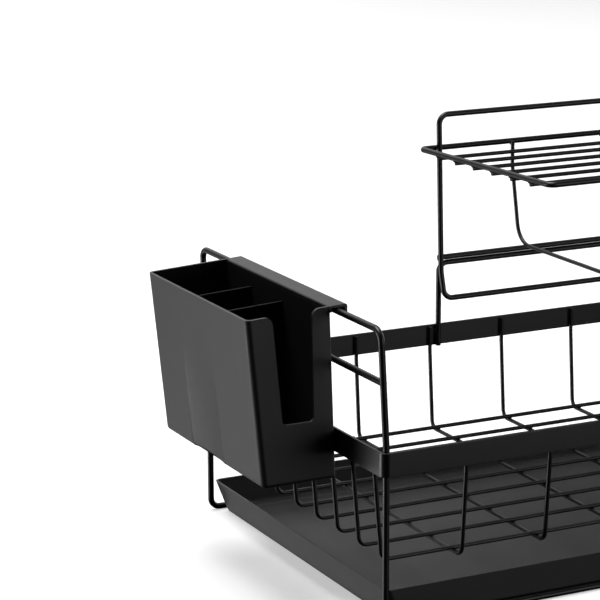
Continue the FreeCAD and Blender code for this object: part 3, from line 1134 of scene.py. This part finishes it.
@dataclass
class WireWork:
    """The bent wires: their coating and the weld beads, by half sizes in millimetres."""

    coat: bpy.types.Material
    cross_count: int = 9
    deep_count: int = 6
    slot_count: int = 6
    cradle_count: int = 2
    rim_wall: float = 2.0 * MM
    upright_radius: float = 2.1 * MM
    end_bead: tuple[float, float, float] = (0.9, 2.1, 4.5)
    side_bead: tuple[float, float, float] = (2.1, 0.9, 4.5)
    crossing_bead: tuple[float, float, float] = (1.75, 1.75, 0.8)
    bar_bead: tuple[float, float, float] = (2.5, 2.0, 3.1)
    stand_bead: tuple[float, float, float] = (3.0, 1.0, 5.5)
    crossbar_bead: tuple[float, float, float] = (2.2, 1.0, 3.2)
    slot_bead: tuple[float, float, float] = (1.9, 1.9, 0.8)
    cradle_bead: tuple[float, float, float] = (1.9, 0.9, 2.2)
    cradle_front_drop: float = 1.5 * MM
    cradle_rear_drop: float = 4.5 * MM

    def build(self) -> None:
        """Coats every wire node and welds the wires together."""
        remodelled = ("rim_band", "drip_tray", "cutlery_holder")
        wires = [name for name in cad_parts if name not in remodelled]
        for name in wires:
            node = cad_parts[name]
            node.data.materials.clear()
            node.data.materials.append(self.coat)
        LOG.info("coated %d wires", len(wires))
        self._weld_basket()
        self._weld_tier()

    def _weld_basket(self) -> None:
        """Beads of the basket, the side frames and the rear stand."""
        beads = WeldBeads("basket_welds", Body.RACK, self.coat)
        rim_low, rim_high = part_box("rim_band")
        wall = Vector((self.rim_wall, self.rim_wall, 0.0))
        inner_low, inner_high = rim_low + wall, rim_high - wall
        mid_z = (rim_low.z + rim_high.z) / 2
        cross = [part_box(f"basket_cross_wire_{index + 1}") for index in range(self.cross_count)]
        deep = [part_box(f"basket_deep_wire_{index + 1}") for index in range(self.deep_count)]
        for low, high in cross:
            for x in (inner_low.x, inner_high.x):
                beads.add((x, middle_of(low, high).y, mid_z), self.end_bead)
        for low, high in deep:
            for y in (inner_low.y, inner_high.y):
                beads.add((middle_of(low, high).x, y, mid_z), self.side_bead)
        for cross_low, cross_high in cross:
            y = middle_of(cross_low, cross_high).y
            for deep_low, deep_high in deep:
                x = middle_of(deep_low, deep_high).x
                beads.add((x, y, cross_low.z), self.crossing_bead)
        for side in ("left", "right"):
            low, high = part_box(f"side_bar_{side}")
            centre = middle_of(low, high)
            for y in (low.y, high.y):
                beads.add((centre.x, y, centre.z), self.bar_bead)
        low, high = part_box("rear_stand")
        for x in (low.x + self.upright_radius, high.x - self.upright_radius):
            beads.add((x, inner_high.y, mid_z), self.stand_bead)
        beads.build()

    def _weld_tier(self) -> None:
        """Beads of the plate rack and its upright loop."""
        beads = WeldBeads("plate_rack_welds", Body.TIER, self.coat)
        bar_low, bar_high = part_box("upright_crossbar")
        for x in (bar_low.x, bar_high.x):
            beads.add((x, bar_low.y, middle_of(bar_low, bar_high).z), self.crossbar_bead)
        frame_low, frame_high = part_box("plate_rack_frame")
        sides = (frame_low.x + self.upright_radius, frame_high.x - self.upright_radius)
        for index in range(self.slot_count):
            low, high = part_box(f"plate_slot_wire_{index + 1}")
            for x in sides:
                beads.add((x, middle_of(low, high).y, high.z), self.slot_bead)
        for index in range(self.cradle_count):
            low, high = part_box(f"plate_cradle_wire_{index + 1}")
            x = middle_of(low, high).x
            beads.add((x, low.y, high.z - self.cradle_front_drop), self.cradle_bead)
            beads.add((x, high.y, high.z - self.cradle_rear_drop), self.cradle_bead)
        beads.build()


# ---------------------------------------------------------------- studio


@dataclass(frozen=True)
class Lamp:
    """One soft light that faces the rack."""

    name: str
    place: tuple[float, float, float]
    width: float
    height: float
    power: float


@dataclass
class Studio:
    """Floor, soft lights, surroundings and camera."""

    camera_place: tuple[float, float, float] = (-0.9114, -1.4669, 0.5888)
    heading: float = 26.469
    dip: float = 13.639
    roll: float = -0.240
    lens: float = 147.43
    sensor: float = 36.0
    far_clip: float = 60.0
    floor_size: float = 40.0
    floor_drop: float = 0.1 * MM
    sky: float = 1.0
    lamp_target: tuple[float, float, float] = (0.0, 0.0, 0.12)
    lamps: tuple[Lamp, ...] = (
        Lamp("left_strip", (-2.35, 1.4, -0.3), 1.3, 0.9, 40.0),
        Lamp("table_bounce", (-1.0, 2.4, -1.5), 1.4, 1.4, 6.0),
        Lamp("top_softbox", (-0.5, 0.6, 3.0), 2.2, 2.2, 140.0),
        Lamp("front_fill", (1.7, -3.2, 0.3), 2.4, 1.4, 29.0),
        Lamp("right_fill", (3.4, 0.6, 1.2), 3.0, 3.0, 60.0),
        Lamp("rear_fill", (0.3, 3.6, 1.4), 3.0, 3.0, 35.0),
    )

    def build(self) -> None:
        """Sets up everything around the rack."""
        self._floor()
        self._sky()
        for lamp in self.lamps:
            self._softbox(lamp)
        self._camera()
        bpy.context.scene.view_settings.view_transform = "Standard"

    def _floor(self) -> None:
        """The pale table, which lets the lamps below it shine through."""
        let_go()
        bpy.ops.mesh.primitive_plane_add(size=self.floor_size, location=(0, 0, -self.floor_drop))
        table = bpy.context.active_object
        table.name = "table"
        table.data.materials.append(PaleFloor().material())
        table.visible_diffuse = False
        table.visible_glossy = False
        table.visible_shadow = False

    def _sky(self) -> None:
        """Even white surroundings."""
        world = bpy.data.worlds.new("white_room")
        world.use_nodes = True
        background = world.node_tree.nodes["Background"]
        background.inputs["Color"].default_value = (1.0, 1.0, 1.0, 1.0)
        background.inputs["Strength"].default_value = self.sky
        world.cycles_visibility.diffuse = False
        world.cycles_visibility.glossy = False
        bpy.context.scene.world = world

    def _softbox(self, lamp: Lamp) -> None:
        """Hangs one soft light.

        Args:
            lamp: Its place, size and power.
        """
        facing = Vector(self.lamp_target) - Vector(lamp.place)
        turn = facing.to_track_quat("-Z", "Y").to_euler()
        bpy.ops.object.light_add(type="AREA", location=lamp.place, rotation=turn)
        made = bpy.context.active_object
        made.name = lamp.name
        made.data.shape = "RECTANGLE"
        made.data.size = lamp.width
        made.data.size_y = lamp.height
        made.data.energy = lamp.power

    def _camera(self) -> None:
        """The camera, at the height and angle of the main view."""
        bpy.ops.object.camera_add(location=self.camera_place)
        camera = bpy.context.active_object
        turn = (
            Matrix.Rotation(-math.radians(self.heading), 4, "Z")
            @ Matrix.Rotation(math.radians(90.0 - self.dip), 4, "X")
            @ Matrix.Rotation(math.radians(self.roll), 4, "Z")
        )
        camera.rotation_euler = turn.to_euler()
        camera.data.lens = self.lens
        camera.data.sensor_width = self.sensor
        camera.data.clip_end = self.far_clip
        bpy.context.scene.camera = camera


def main() -> None:
    """Builds every sub-assembly and the studio."""
    logging.basicConfig(level=logging.INFO, format="%(message)s")
    coat = PowderCoat().material()
    tray_plastic = MouldedPlastic(
        "tray_plastic_black", dark=(0.014, 0.014, 0.0145), light=(0.023, 0.023, 0.0238)
    )
    bin_plastic = MouldedPlastic(
        "holder_plastic_black", dark=(0.009, 0.009, 0.0093), light=(0.015, 0.015, 0.0155)
    )
    # Inside of the bin: matte and less shiny, which is real; its tone, about four times darker than
    # the outside, is painted shade for the dark interior.
    bin_matte_and_painted_shade = MouldedPlastic(
        "holder_plastic_matte_painted_shade",
        dark=(0.0022, 0.0022, 0.0024),
        light=(0.0045, 0.0045, 0.0048),
        gloss_low=0.66,
        specular=0.16,
    )
    RimHoop(coat).build()
    WireWork(coat).build()
    DripTray(tray_plastic.material()).build()
    CutleryHolder(bin_plastic.material(), bin_matte_and_painted_shade.material()).build()
    Studio().build()


if __name__ == "__main__":
    main()
